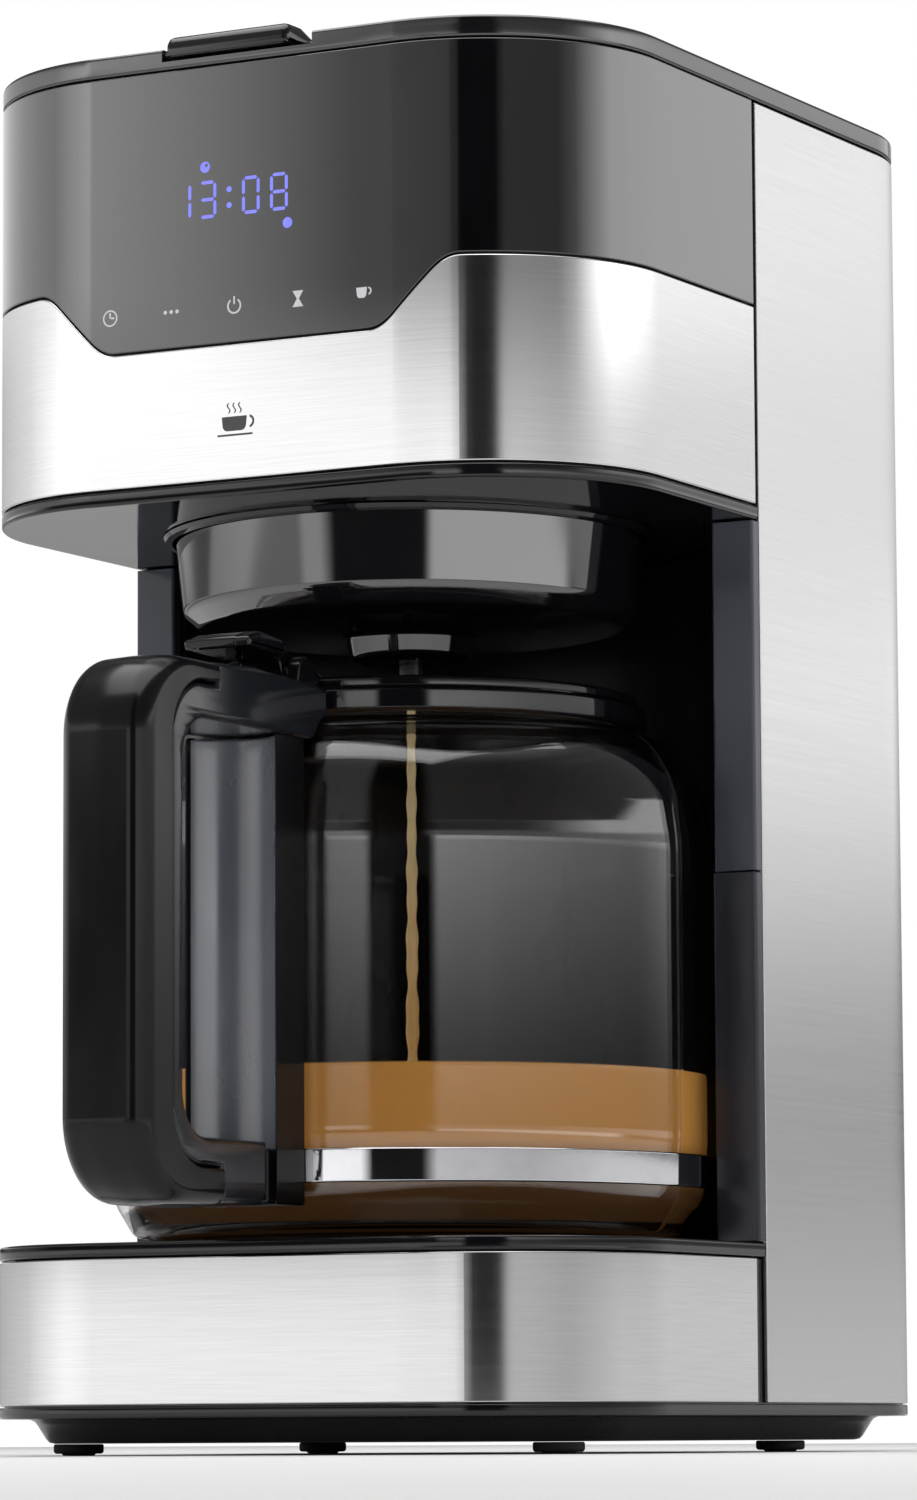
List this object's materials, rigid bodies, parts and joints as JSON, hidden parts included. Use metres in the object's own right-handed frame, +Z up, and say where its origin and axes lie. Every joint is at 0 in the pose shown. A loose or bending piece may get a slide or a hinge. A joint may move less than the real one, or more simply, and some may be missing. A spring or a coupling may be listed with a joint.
{
  "type": "drip coffee maker",
  "caption": "Upright drip coffee maker with steel skins, gloss clock panel, hinged lid, rear water tank, hanging filter funnel and glass jug with loop handle.",
  "frame": {"origin": "centre of the whole object's box on the plane that its feet stand on, jug handle included", "axes": "+Z up, -Y the front with the clock panel and the jug handle, +X the right side seen from the front"},
  "size_m": [0.182, 0.285, 0.3504],
  "materials": {
    "gloss_black": "glossy",
    "matt_black": "satin",
    "handle_black": "glossy",
    "panel_black": "mirror gloss",
    "column_grey": "satin",
    "brushed_steel": "brushed level",
    "side_steel": "fine brushed",
    "chrome": "polished",
    "screw_steel": "plain",
    "aluminium": "cast",
    "jug_glass": "clear",
    "plate_coating": "non-stick coating",
    "tank_grey": "smoked",
    "silicone": "translucent silicone",
    "rubber": "matt",
    "circuit_board": "lacquered",
    "clock_light": "lit"
  },
  "bodies": {
    "machine": {"base_housing": "gloss_black", "base_steel_band": "brushed_steel", "base_deck": "gloss_black", "hot_plate": "plate_coating", "heater_tube": "aluminium", "thermostat": "aluminium", "thermal_fuse": "aluminium", "under_tray": "matt_black", "foot_front_left": "rubber", "foot_front_right": "rubber", "foot_rear_left": "rubber", "foot_rear_right": "rubber", "tray_screw_front": "screw_steel", "tray_screw_rear": "screw_steel", "cord_gland": "rubber", "rear_cover": "side_steel", "tower_housing": "matt_black", "bay_liner": "gloss_black", "column_trim_lower_left": "column_grey", "column_trim_upper_left": "column_grey", "column_trim_lower_right": "column_grey", "column_trim_upper_right": "column_grey", "water_tank": "tank_grey", "check_valve_body": "silicone", "cold_hose": "silicone", "riser_hose": "silicone", "head_frame": "matt_black", "head_floor": "gloss_black", "head_steel_band": "brushed_steel", "display_panel": "panel_black", "control_board": "circuit_board", "led_display": "clock_light", "touch_pad_1": "silicone", "touch_pad_2": "silicone", "touch_pad_3": "silicone", "touch_pad_4": "silicone", "touch_pad_5": "silicone", "filter_funnel": "gloss_black", "filter_basket": "matt_black", "valve_retainer": "matt_black", "spray_arm": "matt_black", "inner_deck": "matt_black", "top_rim": "gloss_black"},
    "top_lid": {"lid": "gloss_black", "lid_pin_left": "screw_steel", "lid_pin_right": "screw_steel"},
    "jug": {"jug_glass": "jug_glass", "jug_band": "chrome", "jug_collar": "gloss_black", "handle_cover": "handle_black", "handle_frame": "handle_black", "handle_bracket": "handle_black", "handle_screw": "screw_steel", "jug_lid_pin": "screw_steel"},
    "jug_cover": {"jug_lid": "gloss_black"},
    "valve_plunger": {"drip_valve": "matt_black", "valve_seal": "silicone", "valve_spring": "screw_steel"},
    "valve_ball": {"check_ball": "screw_steel"}
  },
  "joints": [
    {"name": "lid_hinge", "type": "hinge", "parent": "machine", "child": "top_lid", "pos_m": [0, 0.1295, 0.3446], "axis": [-1, 0, 0], "range_deg": [0, 85]},
    {"name": "jug_slide", "type": "slide", "parent": "machine", "child": "jug", "axis": [0, -1, 0], "range_m": [0, 0.24]},
    {"name": "jug_cover_hinge", "type": "hinge", "parent": "jug", "child": "jug_cover", "pos_m": [0, -0.0625, 0.191], "axis": [1, 0, 0], "range_deg": [0, 5.5]},
    {"name": "drip_valve_lift", "type": "slide", "parent": "machine", "child": "valve_plunger", "axis": [0, 0, 1], "range_m": [0, 0.0035], "stiffness_N_per_m": 120, "springref_m": -0.002, "deforming": ["valve_spring"]},
    {"name": "check_ball_lift", "type": "slide", "parent": "machine", "child": "valve_ball", "axis": [0, 0, 1], "range_m": [0, 0.002]}
  ]
}
